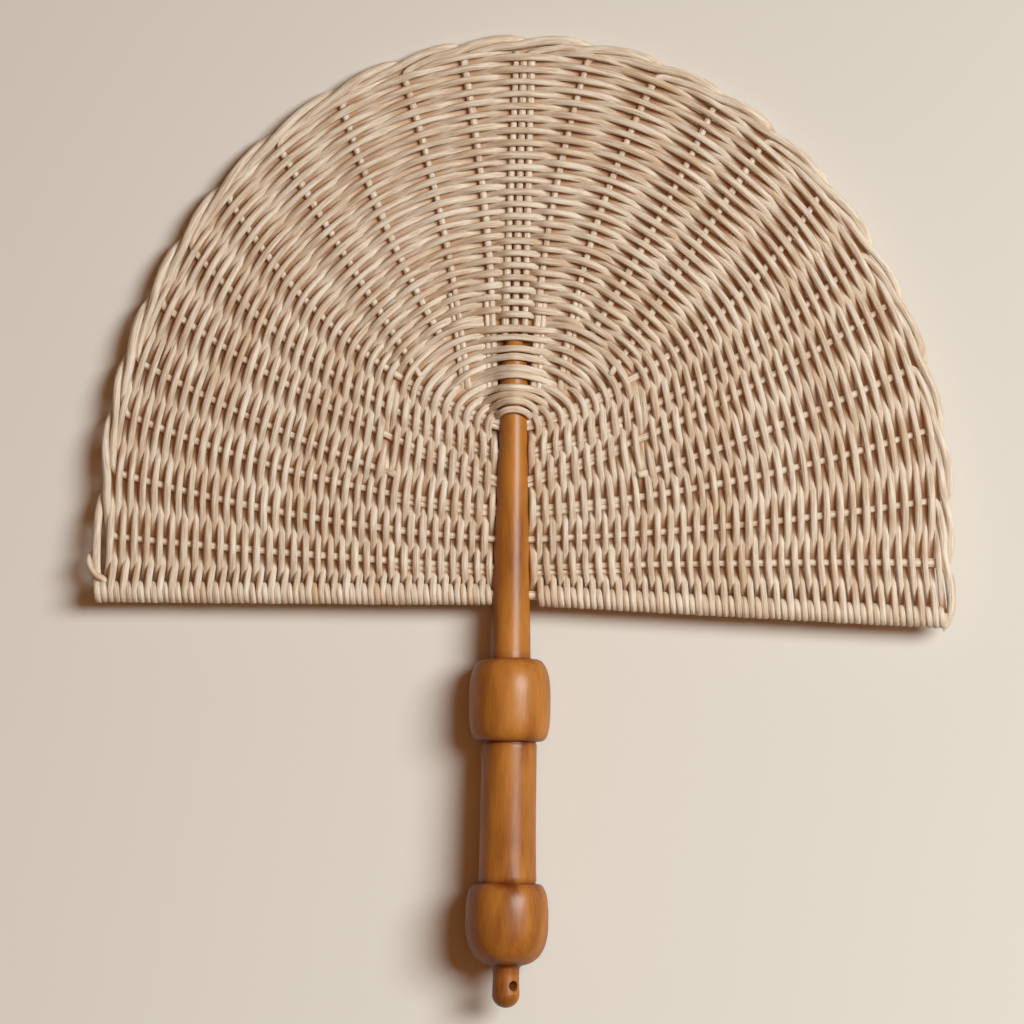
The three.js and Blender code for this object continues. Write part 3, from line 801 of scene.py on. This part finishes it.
def spread(tree, value, low, high, to_low=0.0, to_high=1.0):
    """Stretches a value's range from low..high to to_low..to_high, and cuts off the rest."""
    ends = {"From_Min": low, "From_Max": high, "To_Min": to_low, "To_Max": to_high}
    return put(tree, "MapRange", Value=value, **ends).outputs[0]


def rgba(colour):
    return (*colour, 1.0)


def fibre_group():
    """Long streaks and blotches: noise on the piece's grain coordinates, stretched along the grain,
    the blotches four times as long as they are wide."""
    name = "long fibres"
    if name in bpy.data.node_groups:
        return bpy.data.node_groups[name]
    tree = bpy.data.node_groups.new(name, "ShaderNodeTree")
    inputs = {"Grain": "Vector", "Across": "Float", "Along": "Float", "Blotch": "Float"}
    for socket, kind in inputs.items():
        tree.interface.new_socket(socket, in_out="INPUT", socket_type="NodeSocket" + kind)
    for socket in ("Streaks", "Blotches"):
        tree.interface.new_socket(socket, in_out="OUTPUT", socket_type="NodeSocketFloat")
    given = tree.nodes.new("NodeGroupInput").outputs
    result = tree.nodes.new("NodeGroupOutput").inputs
    fine = put(tree, "CombineXYZ", X=given["Across"], Y=given["Across"], Z=given["Along"])
    longer = math(tree, "MULTIPLY", given["Blotch"], 0.25)
    wide = put(tree, "CombineXYZ", X=given["Blotch"], Y=given["Blotch"], Z=longer)
    for scale, output, detail in ((fine, "Streaks", 3.0), (wide, "Blotches", 2.0)):
        stretched = put(tree, "VectorMath", {"operation": "MULTIPLY"})
        feed(tree, stretched.inputs[0], given["Grain"])
        feed(tree, stretched.inputs[1], scale.outputs[0])
        noise = put(tree, "TexNoise", Vector=stretched.outputs[0], Scale=1.0, Detail=detail)
        feed(tree, result[output], noise.outputs["Fac"])
    return tree


def fibres(tree, across, along, blotch):
    """Places the fibre group in a material, with its own fineness across and along the grain."""
    node = tree.nodes.new("ShaderNodeGroup")
    node.node_tree = fibre_group()
    grain = put(tree, "Attribute", {"attribute_name": "grain"})
    feed(tree, node.inputs["Grain"], grain.outputs["Vector"])
    for socket, value in (("Across", across), ("Along", along), ("Blotch", blotch)):
        feed(tree, node.inputs[socket], value)
    return node.outputs["Streaks"], node.outputs["Blotches"]


def new_material(name):
    """A material with its node tree and shader, or without them if it has been made before."""
    if name in bpy.data.materials:
        return bpy.data.materials[name], None, None
    material = bpy.data.materials.new(name)
    material.use_nodes = True
    return material, material.node_tree, material.node_tree.nodes["Principled BSDF"]


def reed_material(name, reeds, darkening, deep):
    """Dry rattan: pale to tan by reed, with fine lengthwise fibres and here and there a honey
    stretch. `darkening` shifts all of it, and `deep` adds painted shade where a surface faces into
    the weave."""
    material, tree, shader = new_material(name)
    if tree is None:
        return material
    streaks, blotches = fibres(tree, across=1400.0, along=110.0, blotch=72.0)
    tone = put(tree, "Attribute", {"attribute_name": "tone"}).outputs["Fac"]
    by_reed = math(tree, "MULTIPLY", tone, 0.4)
    by_fibre = spread(tree, streaks, 0.34, 0.66, -0.45, 0.85)
    by_blotch = spread(tree, blotches, 0.3, 0.7, -0.15 + darkening, 0.2 + darkening)
    shade = math(tree, "ADD", math(tree, "ADD", by_reed, by_fibre), by_blotch)
    colour = mix(tree, shade, rgba(reeds.pale), rgba(reeds.tan))
    colour = mix(tree, spread(tree, blotches, 0.6, 0.75, 0.0, 0.55), colour, rgba(reeds.honey))
    # Painted shade: where a weaver faces into the weave, its colour turns to the shade colour
    if deep:
        height = put(tree, "Attribute", {"attribute_name": "height"}).outputs["Fac"]
        colour = mix(tree, spread(tree, height, *PAINTED_SHADE_HEIGHTS), rgba(reeds.shade), colour)
    feed(tree, shader.inputs["Base Color"], colour)
    feed(tree, shader.inputs["Roughness"], spread(tree, streaks, 0.3, 0.7, 0.5, 0.68))
    bump = put(tree, "Bump", Height=streaks, Strength=1.0, Distance=0.45 * MM)
    feed(tree, shader.inputs["Normal"], bump.outputs[0])
    shader.inputs["Specular IOR Level"].default_value = 0.35
    return material


def stake_material(reeds):
    return reed_material("stake reed", reeds, STAKE_DARKENING, False)


def wood_material(handle):
    """Orange-brown wood under gloss lacquer, its grain along the handle, darker where stain gathers
    at the shoulders."""
    material, tree, shader = new_material("lacquered wood")
    if tree is None:
        return material
    streaks, blotches = fibres(tree, across=1600.0, along=150.0, blotch=105.0)
    stain = put(tree, "Attribute", {"attribute_name": "stain"}).outputs["Fac"]
    patches = spread(tree, blotches, 0.36, 0.7, -0.05, 0.55)
    shade = math(tree, "ADD", spread(tree, streaks, 0.35, 0.68, 0.0, 0.2), patches)
    shade = math(tree, "ADD", shade, stain)
    colour = mix(tree, shade, rgba(handle.light_wood), rgba(handle.dark_wood))
    feed(tree, shader.inputs["Base Color"], colour)
    feed(tree, shader.inputs["Roughness"], spread(tree, streaks, 0.3, 0.7, 0.46, 0.58))
    bump = put(tree, "Bump", Height=streaks, Strength=0.08, Distance=0.2 * MM)
    feed(tree, shader.inputs["Normal"], bump.outputs[0])
    shader.inputs["Specular IOR Level"].default_value = 0.12
    shader.inputs["Coat Weight"].default_value = 0.42
    shader.inputs["Coat Roughness"].default_value = 0.3
    return material


def floor_material(stage):
    material, tree, shader = new_material("pale floor")
    if tree is None:
        return material
    shader.inputs["Base Color"].default_value = rgba(stage.floor_colour)
    shader.inputs["Roughness"].default_value = 0.9
    shader.inputs["Specular IOR Level"].default_value = 0.1
    return material


class FAN_OT_weavers(bpy.types.Operator):
    """Weaves the reeds that go over and under the stakes"""

    bl_idname = "fan.weavers"
    bl_label = "Weavers"

    def execute(self, context):
        reeds = context.scene.fan_reeds
        weave = Weave(reeds)
        material = reed_material("weaver reed", reeds, 0.0, True)
        radius = reeds.weaver_width / 2
        flat = reeds.weaver_thickness / reeds.weaver_width
        for number, first in enumerate(range(0, ROWS, ROWS_PER_WEAVER), 1):
            start = FIRST_ROW if first == 0 else first
            rows = range(start, min(first + ROWS_PER_WEAVER, ROWS))
            path, out = self.path(weave, rows, reeds.step)
            strands = [Reed(path, out, radius, number, flat)]
            if rows[-1] == ROWS - 1:
                end = smooth_line(np.array(LAST_END) * MM, reeds.step, BEND_SAMPLES)
                strands.append(Reed(end, UP, tapered(end, radius), number, flat))
            add_reeds(f"weaver_{number:02d}", strands, material, reeds.sides)
        return {"FINISHED"}

    def path(self, weave, rows, step):
        """Up one row and back along the next. An even row passes in front of the edge rod, an odd
        one behind it, and between them the reed takes one more turn round the rod. The last row
        ends in a turn of its own."""
        paths, outs = [], []
        for row in rows:
            stops = weave.row(row)
            even = row % 2 == 0
            if not even:
                stops[0] = weave.wrap(weave.left, row + 1, -1)[0][-1]
            if not even and row > FIRST_ROW:
                stops[-1] = weave.wrap(weave.right, row - 1, 1)[0][-1]
            line = smooth_line(stops, step, ROW_SAMPLES)
            if even:
                wrap, out = weave.wrap(weave.left, row, -1)
                paths.append(wrap[:0:-1])
                outs.append(out[:0:-1])
            paths.append(line if even else line[-2:0:-1])
            outs.append(np.tile(UP if even else -UP, (len(paths[-1]), 1)))
            if even:
                wrap, out = weave.wrap(weave.right, row, 1)
                paths.append(wrap[1:])
                outs.append(out[1:])
        if rows[-1] == ROWS - 1:
            wrap, out = weave.wrap(weave.left, ROWS, -1, start=LAST_WRAP_START)
            paths.append(wrap[::-1])
            outs.append(out[::-1])
        return np.vstack(paths), np.vstack(outs)


class FAN_OT_cross_stakes(bpy.types.Operator):
    """Lays the stakes that pass through the neck and turn into the border at both ends"""

    bl_idname = "fan.cross_stakes"
    bl_label = "Cross stakes"

    def execute(self, context):
        reeds = context.scene.fan_reeds
        weave = Weave(reeds)
        material = stake_material(reeds)
        for i, (left, right) in enumerate(zip(weave.left.cross, weave.right.cross), 1):
            halves = [rib_path(rib, 0) for rib in (left, right)]
            radii = [tapered(half, weave.stake_radius) for half in halves]
            path = np.vstack([halves[0][::-1], halves[1]])
            strands = [Reed(path, UP, np.concatenate([radii[0][::-1], radii[1]]), CROSS_SEED + i)]
            if i in DOUBLED_CROSS_STAKES:
                seed = SECOND_CROSS_SEED + i
                strands.append(self.second_reed(left, right, weave.stake_radius, seed))
            add_reeds(f"cross_stake_{i}", strands, material, reeds.sides)
        return {"FINISHED"}

    def second_reed(self, left, right, radius, number):
        """A short reed laid along the lower side of a stake, through the neck and out both ways."""
        distance = np.linspace(0, DOUBLED_REACH, LINE_SAMPLES // 8)
        halves = []
        for rib in (left, right):
            aside = rib.line.at(distance) - np.array([0, radius * SECOND_ASIDE])
            halves.append(level(aside))
        path = np.vstack([halves[0][::-1], halves[1]])
        return Reed(path, UP, radius * SECOND_SIZE, number)


class FAN_OT_side_stakes(bpy.types.Operator):
    """Lays the stakes that start inside the weave"""

    bl_idname = "fan.side_stakes"
    bl_label = "Side stakes"

    def execute(self, context):
        reeds = context.scene.fan_reeds
        weave = Weave(reeds)
        material = stake_material(reeds)
        number = 0
        for word, side in (("left", weave.left), ("right", weave.right)):
            for stake, rib in side.free.items():
                number += 1
                free_end = SIDE_STAKES[stake][-1] * MM
                start = max(0, rib.first_along - abs(free_end)) if free_end else 0
                path = rib_path(rib, start)
                away = np.linalg.norm(path[:, :2] - path[0, :2], axis=1)
                path[:, 2] += self.rise(away, free_end, weave.over_stake)
                radius = tapered(path, weave.stake_radius)
                strands = [Reed(path, UP, radius, SIDE_SEED + number)]
                if stake in DOUBLED_SIDE_STAKES:
                    aside = np.array([np.sign(path[0, 0]), 0, 0]) * weave.stake_radius * SECOND_ASIDE
                    beside = path[away < DOUBLED_REACH] + aside
                    radius = weave.stake_radius * SECOND_SIZE
                    strands.append(Reed(beside, UP, radius, SECOND_SIDE_SEED + number))
                add_reeds(f"{word}_{stake}", strands, material, reeds.sides)
        return {"FINISHED"}

    def rise(self, distance, free_end, height):
        """A free end lies on the weave or under it and comes to the middle at its first row."""
        if free_end == 0:
            return np.zeros_like(distance)
        share = np.clip(distance / abs(free_end), 0, 1)
        return np.sign(free_end) * height * (1 - share * share * (3 - 2 * share))


class FAN_OT_centre_stakes(bpy.types.Operator):
    """Lays the three stakes on the blade's centre line"""

    bl_idname = "fan.centre_stakes"
    bl_label = "Centre stakes"

    def execute(self, context):
        reeds = context.scene.fan_reeds
        radius = reeds.stake_diameter / 2
        material = stake_material(reeds)
        top = border_point(CENTRE_STATION, TAIL_START)
        sides = {"left": -1, "middle": 0, "right": 1}
        for seed, (word, side) in enumerate(sides.items(), CENTRE_SEED):
            low = np.array([side * CENTRE_SPACING_LOW, TIP_END_Y - abs(side) * CENTRE_SIDE_DROP, 0])
            high = np.array([top[0] + side * CENTRE_SPACING_TOP, top[1] - BEND_RADIUS / 2, 0])
            path = np.linspace(low, high, LINE_SAMPLES // 4)
            size = np.full(len(path), radius)
            if side == 0:
                stops = np.vstack([path[-4:-2], tail_path(CENTRE_STATION)[1:]])
                path = np.vstack([path[:-4], smooth_line(stops, BEND_STEP, BEND_SAMPLES)])
                size = tapered(path, radius)
            add_reeds(f"{word}_centre_stake", [Reed(path, UP, size, seed)], material, reeds.sides)
        return {"FINISHED"}


class FAN_OT_edge_rod(bpy.types.Operator):
    """Lays the rod along the blade's straight edge, with its left end hooked up into the border"""

    bl_idname = "fan.edge_rod"
    bl_label = "Edge rod"

    def execute(self, context):
        reeds = context.scene.fan_reeds
        weave = Weave(reeds)
        material = stake_material(reeds)
        left, right = (side.rod.line for side in (weave.left, weave.right))
        left_stops = left.at(np.linspace(ROD_SHARES[0], 0, ROD_STOPS) * left.length)
        right_stops = right.at(np.linspace(0, ROD_SHARES[1], ROD_STOPS) * right.length)
        hook = np.array(ROD_HOOK) * MM
        stops = np.vstack([hook, level(left_stops), level(right_stops)])
        path = smooth_line(stops, ROD_STEP, BEND_SAMPLES)
        thick = np.clip((path[:, 0] - hook[-1, 0]) / ROD_THICKENING, 0, 1)
        radius = weave.stake_radius + (weave.rod_radius - weave.stake_radius) * thick
        radius = np.minimum(radius, tapered(path[::-1], weave.rod_radius)[::-1])
        add_reeds("edge_rod", [Reed(path, UP, radius, ROD_SEED)], material, reeds.sides)
        return {"FINISHED"}


def swell(narrow, wide, fullness):
    """A bulging quarter between two (radius, y) points: a superellipse, square to the axis at the
    narrow one and along it at the wide one."""
    angle = np.linspace(0, np.pi / 2, SWELL_RINGS)
    radius = narrow[0] + (wide[0] - narrow[0]) * np.sin(angle) ** (2 / fullness)
    y = wide[1] + (narrow[1] - wide[1]) * np.cos(angle) ** (2 / fullness)
    return np.column_stack([radius, y])


class FAN_OT_handle(bpy.types.Operator):
    """Turns the handle and drills it"""

    bl_idname = "fan.handle"
    bl_label = "Handle"

    def execute(self, context):
        handle = context.scene.fan_handle
        mesh = self.lathe(self.profile(handle))
        piece = add_piece("turned_handle", mesh, wood_material(handle), "turned_wood", "handle")
        self.drill(piece, handle, context)
        return {"FINISHED"}

    def profile(self, handle):
        """Radius and height from the finial's end to the nose, as swells, straights and grooves,
        worked out in millimetres."""
        bead, grip = handle.bead_radius / MM, handle.grip_radius / MM
        foot = swell((2.4, -146), (bead + 0.3, -128), 2.6)
        share = np.linspace(0, 1, 40)
        neck_y = np.linspace(-20, 86, 60)
        parts = [
            swell((0, -162.6), (5.5, -157.3), 2),
            [(5.35, -154), (5.25, -150), (5.35, -147), (5.6, -146.2)],
            foot[foot[:, 0] > 5.9],
            swell((11.7, -113.1), (bead + 0.3, -128), 2.6)[-2::-1],
            [(11.5, -113), (11.3, -112.9), (11.35, -112.6), (11.5, -112.2)],
            np.column_stack([grip + 0.5 * share**3, -58.2 - 53.4 * share])[::-1],
            [(grip - 0.1, -57.6), (10.7, -57), (10.75, -56.7), (11.4, -56.6)],
            swell((11.6, -56.5), (bead, -41), 3.2),
            swell((9.3, -23.5), (bead, -41), 2.6)[-2::-1],
            [(9.0, -23.4), (8.3, -23.3), (8.15, -22.8)],
            np.column_stack([wood_radius(neck_y * MM) / MM, neck_y]),
        ]
        nose = np.sin(np.linspace(0, np.pi / 2, SWELL_RINGS))
        y = TIP_START_Y + (TIP_END_Y - TIP_START_Y) * nose
        parts.append(np.column_stack([wood_radius(y), y]) / MM)
        return np.vstack(parts) * MM

    def lathe(self, profile):
        """The profile swung round the handle's axis: radius times the cosine and the sine of an
        angle, with one point at each pole."""
        angle = np.linspace(0, 2 * np.pi, LATHE_SIDES, endpoint=False)
        radius, y = profile[1:-1].T
        ring = np.column_stack([np.sin(angle), np.zeros(LATHE_SIDES), np.cos(angle)])
        points = radius[:, None, None] * ring
        points[..., 1] = y[:, None]
        poles = [(0, profile[0, 1], 0), (0, profile[-1, 1], 0)]
        flat = np.vstack([points.reshape(-1, 3), poles])
        index = np.arange(len(radius) * LATHE_SIDES).reshape(-1, LATHE_SIDES)
        around = np.roll(index, -1, axis=1)
        walls = np.stack([index[:-1], around[:-1], around[1:], index[1:]], axis=-1).reshape(-1, 4)
        foot, nose = np.full((2, LATHE_SIDES), [[len(flat) - 2], [len(flat) - 1]])
        ends = np.vstack([
            np.column_stack([foot, around[0], index[0]]),
            np.column_stack([nose, index[-1], around[-1]]),
        ])
        mesh = bpy.data.meshes.new("turned_handle")
        mesh.from_pydata(place(flat).tolist(), [], walls.tolist() + ends.tolist())
        mesh.shade_smooth()
        store(mesh, "grain", "FLOAT_VECTOR", "vector", flat[:, [0, 2, 1]])
        store(mesh, "stain", "FLOAT", "value", self.stain(flat[:, 1]))
        return mesh

    def stain(self, y):
        """Darkening near each shoulder, fading over a few millimetres, and all over the lower bead
        and the finial."""
        near = np.abs(y[:, None] - SHOULDERS).min(axis=1)
        return SHOULDER_STAIN * np.exp(-near / STAIN_FADE) + LOWER_STAIN * (y < SHOULDERS[1])

    def drill(self, piece, handle, context):
        """Cuts the holes of the rod and the stakes, and the hanging hole, with cylinders: a circle
        round each hole's axis, carried from one side of the handle to the other."""
        reeds = context.scene.fan_reeds
        sideways = np.array([1.0, 0, 0])
        drills = [(ROD_HEIGHT, reeds.rod_diameter, sideways)]
        drills += [(stake[0] * MM, reeds.stake_diameter, sideways) for stake in CROSS_STAKES]
        turned = np.array([np.sin(HANGING_HOLE_TURN), 0, np.cos(HANGING_HOLE_TURN)])
        drills.append((HANGING_HOLE_Y, handle.hole_diameter, turned))
        points, faces = [], []
        angle = np.linspace(0, 2 * np.pi, DRILL_SIDES, endpoint=False)[:, None]
        for y, diameter, axis in drills:
            across = np.cross(axis, [0, 1.0, 0])
            ring = (np.cos(angle) * across + np.sin(angle) * [0, 1.0, 0]) * diameter / 2 + [0, y, 0]
            near = np.arange(DRILL_SIDES) + len(points) * DRILL_SIDES
            far = near + DRILL_SIDES
            points += [ring - axis * DRILL_REACH, ring + axis * DRILL_REACH]
            walls = np.column_stack([near, far, np.roll(far, -1), np.roll(near, -1)])
            faces += walls.tolist() + [near.tolist(), far[::-1].tolist()]
        mesh = bpy.data.meshes.new("drills")
        mesh.from_pydata(place(np.vstack(points)).tolist(), [], faces)
        cutter = bpy.data.objects.new("drills", mesh)
        context.scene.collection.objects.link(cutter)
        cut = piece.modifiers.new("drilled", "BOOLEAN")
        cut.operation = "DIFFERENCE"
        cut.object = cutter
        context.view_layer.update()
        finished = piece.evaluated_get(context.evaluated_depsgraph_get())
        drilled = bpy.data.meshes.new_from_object(finished)
        piece.modifiers.clear()
        piece.data = drilled
        drilled.set_sharp_from_angle(angle=SHARP_ANGLE)
        bpy.data.objects.remove(cutter)


class FAN_OT_stage(bpy.types.Operator):
    """Sets the floor, the lights and the camera"""

    bl_idname = "fan.stage"
    bl_label = "Stage"

    # The photo's middle in the fan's plane, its width there, and how far the handle leans in it
    VIEW_MIDDLE = (-0.07 * MM, 35.2 * MM, 0)
    VIEW_WIDTH = 409.6 * MM
    VIEW_LEAN = 0.77 * DEGREE
    # Each lamp's place, the point that it faces, and its width. The key faces past the handle, so its
    # light fades a little towards the top of the blade
    KEY = ((1.37, 0.48, 2.15), (0, -5.5, 0), 1.6)
    FILL = ((0, 0, 3), (0, 0, 0), 1.6)
    FLOOR_HALF_WIDTH = 3.0

    def execute(self, context):
        stage = context.scene.fan_stage
        self.floor(stage)
        self.light(context, stage)
        self.camera(context, stage)
        context.scene.view_settings.view_transform = "Standard"
        return {"FINISHED"}

    def floor(self, stage):
        half = self.FLOOR_HALF_WIDTH
        corners = [(-half, -half, 0), (half, -half, 0), (half, half, 0), (-half, half, 0)]
        mesh = bpy.data.meshes.new("floor")
        mesh.from_pydata(corners, [], [(0, 1, 2, 3)])
        mesh.materials.append(floor_material(stage))
        floor = bpy.data.objects.new("floor", mesh)
        bpy.context.scene.collection.objects.link(floor)
        floor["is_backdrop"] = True

    def light(self, context, stage):
        world = bpy.data.worlds.new("studio")
        world.use_nodes = True
        sky = world.node_tree.nodes["Background"]
        sky.inputs["Color"].default_value = rgba(WARM_COLOUR)
        sky.inputs["Strength"].default_value = stage.sky_strength
        context.scene.world = world
        self.lamp("key", self.KEY, stage.key_power, KEY_COLOUR)
        self.lamp("fill", self.FILL, stage.fill_power, WARM_COLOUR)

    def lamp(self, name, setting, power, colour):
        position, target, width = setting
        lamp = bpy.data.lights.new(name, "AREA")
        lamp.shape = "DISK"
        lamp.size = width
        lamp.energy = power
        lamp.color = colour
        holder = bpy.data.objects.new(name, lamp)
        holder.location = position
        backwards = Vector(position) - Vector(target)
        holder.rotation_euler = backwards.to_track_quat("Z", "Y").to_euler()
        bpy.context.scene.collection.objects.link(holder)

    def camera(self, context, stage):
        lens = bpy.data.cameras.new("camera")
        lens.lens = lens.sensor_width * stage.camera_height / self.VIEW_WIDTH
        camera = bpy.data.objects.new("camera", lens)
        middle = place(np.array([self.VIEW_MIDDLE]))[0]
        camera.location = (middle[0], middle[1], middle[2] + stage.camera_height)
        camera.rotation_euler = (0, 0, self.VIEW_LEAN)
        context.scene.collection.objects.link(camera)
        context.scene.camera = camera


class FAN_PT_sidebar(bpy.types.Panel):
    """Lists the fan's pieces and their sizes"""

    bl_idname = "FAN_PT_sidebar"
    bl_label = "Reed fan"
    bl_space_type = "VIEW_3D"
    bl_region_type = "UI"
    bl_category = "Reed fan"

    def draw(self, context):
        for operator in OPERATORS:
            self.layout.operator(operator.bl_idname)
        for name in GROUPS:
            box = self.layout.box()
            group = getattr(context.scene, name)
            for prop in group.bl_rna.properties:
                if not prop.is_readonly and prop.identifier != "name":
                    box.prop(group, prop.identifier)


OPERATORS = (
    FAN_OT_handle,
    FAN_OT_edge_rod,
    FAN_OT_cross_stakes,
    FAN_OT_side_stakes,
    FAN_OT_centre_stakes,
    FAN_OT_weavers,
    FAN_OT_stage,
)
GROUPS = {"fan_reeds": FanReeds, "fan_handle": FanHandle, "fan_stage": FanStage}


def register():
    for kind in (*GROUPS.values(), *OPERATORS, FAN_PT_sidebar):
        bpy.utils.register_class(kind)
    for name, group in GROUPS.items():
        setattr(bpy.types.Scene, name, bpy.props.PointerProperty(type=group))


def unregister():
    for name in GROUPS:
        delattr(bpy.types.Scene, name)
    for kind in (FAN_PT_sidebar, *reversed(OPERATORS), *reversed(GROUPS.values())):
        bpy.utils.unregister_class(kind)


def main():
    register()
    bpy.ops.fan.stage()
    bpy.ops.fan.handle()
    bpy.ops.fan.edge_rod()
    bpy.ops.fan.cross_stakes()
    bpy.ops.fan.side_stakes()
    bpy.ops.fan.centre_stakes()
    bpy.ops.fan.weavers()
    boxes = {"cad": CAD_BOX, "visual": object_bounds()}
    {name: [list(corner) for corner in box] for name, box in boxes.items()}


if __name__ == "__main__":
    main()
